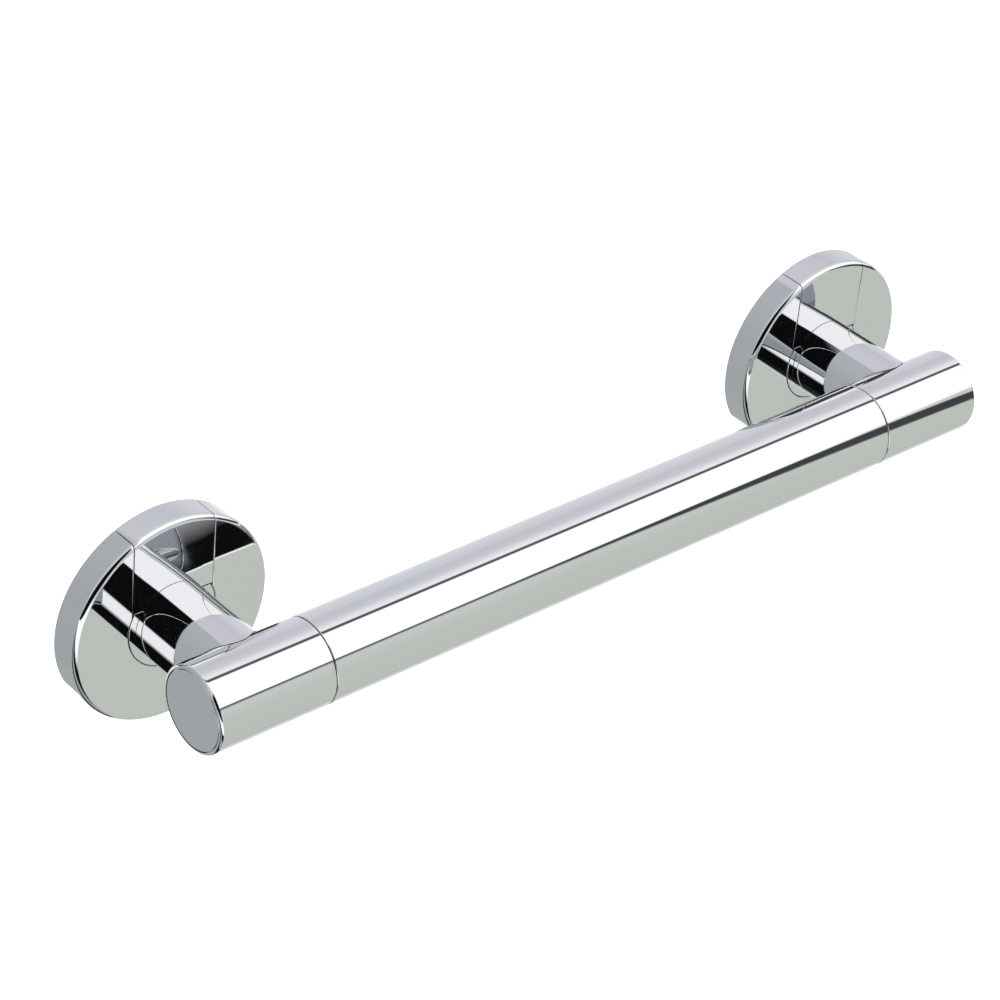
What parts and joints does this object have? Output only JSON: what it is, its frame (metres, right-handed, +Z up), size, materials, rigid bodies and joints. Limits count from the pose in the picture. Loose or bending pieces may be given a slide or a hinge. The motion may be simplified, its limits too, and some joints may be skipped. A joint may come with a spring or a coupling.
{
  "type": "suction grab bar",
  "caption": "Straight chromed grab rail on two round suction heads, each with a flush flip-up release lever above its post.",
  "frame": {"origin": "on the wall plane, midway between the two suction heads, level with the rail's axis", "axes": "+X along the rail, +Z up the wall, +Y into the wall; the bar stands out towards -Y"},
  "size_m": [0.3874, 0.072, 0.08],
  "materials": {
    "polished_chrome": "mirror-polished chrome plating",
    "plain_steel": "bright zinc-plated steel",
    "spring_steel": "drawn spring wire",
    "housing_plastic": "moulded off-white plastic",
    "cup_rubber": "smooth black rubber"
  },
  "bodies": {
    "root": {"rail_tube": "polished_chrome", "left_end_sleeve": "polished_chrome", "left_end_cap": "polished_chrome", "left_coupling_tube": "plain_steel", "left_rail_grub_screw": "plain_steel", "left_sleeve_grub_screw": "plain_steel", "left_post": "polished_chrome", "left_post_bolt": "plain_steel", "left_housing_screw_1": "plain_steel", "left_housing_screw_2": "plain_steel", "left_housing_screw_3": "plain_steel", "left_flange_cover": "polished_chrome", "left_post_collar": "polished_chrome", "left_lever_pin_inner": "plain_steel", "left_lever_pin_outer": "plain_steel", "left_base_housing": "housing_plastic", "left_suction_cup": "cup_rubber", "left_stud_spring": "spring_steel", "right_end_sleeve": "polished_chrome", "right_end_cap": "polished_chrome", "right_coupling_tube": "plain_steel", "right_rail_grub_screw": "plain_steel", "right_sleeve_grub_screw": "plain_steel", "right_post": "polished_chrome", "right_post_bolt": "plain_steel", "right_housing_screw_1": "plain_steel", "right_housing_screw_2": "plain_steel", "right_housing_screw_3": "plain_steel", "right_flange_cover": "polished_chrome", "right_post_collar": "polished_chrome", "right_lever_pin_inner": "plain_steel", "right_lever_pin_outer": "plain_steel", "right_base_housing": "housing_plastic", "right_suction_cup": "cup_rubber", "right_stud_spring": "spring_steel"},
    "left_lever": {"left_release_lever": "polished_chrome"},
    "left_plunger": {"left_pull_plate": "plain_steel", "left_pull_stud": "plain_steel", "left_stud_washer": "plain_steel", "left_stud_nut": "plain_steel"},
    "right_lever": {"right_release_lever": "polished_chrome"},
    "right_plunger": {"right_pull_plate": "plain_steel", "right_pull_stud": "plain_steel", "right_stud_washer": "plain_steel", "right_stud_nut": "plain_steel"}
  },
  "joints": [
    {"name": "left_lever_hinge", "type": "hinge", "parent": "root", "child": "left_lever", "pos_m": [-0.15375, -0.0092, 0.017], "axis": [1, 0, 0], "range_deg": [0, 50]},
    {"name": "left_pull_slide", "type": "slide", "parent": "root", "child": "left_plunger", "axis": [0, 1, 0], "range_m": [0, 0.0025], "deforming": ["left_suction_cup", "left_stud_spring"]},
    {"name": "right_lever_hinge", "type": "hinge", "parent": "root", "child": "right_lever", "pos_m": [0.15375, -0.0092, 0.017], "axis": [1, 0, 0], "range_deg": [0, 50]},
    {"name": "right_pull_slide", "type": "slide", "parent": "root", "child": "right_plunger", "axis": [0, 1, 0], "range_m": [0, 0.0025], "deforming": ["right_suction_cup", "right_stud_spring"]}
  ],
  "couplings": [
    {"joint": "left_lever_hinge", "follows": "left_pull_slide", "rad_per_m": 347.7},
    {"joint": "right_lever_hinge", "follows": "right_pull_slide", "rad_per_m": 347.7}
  ]
}
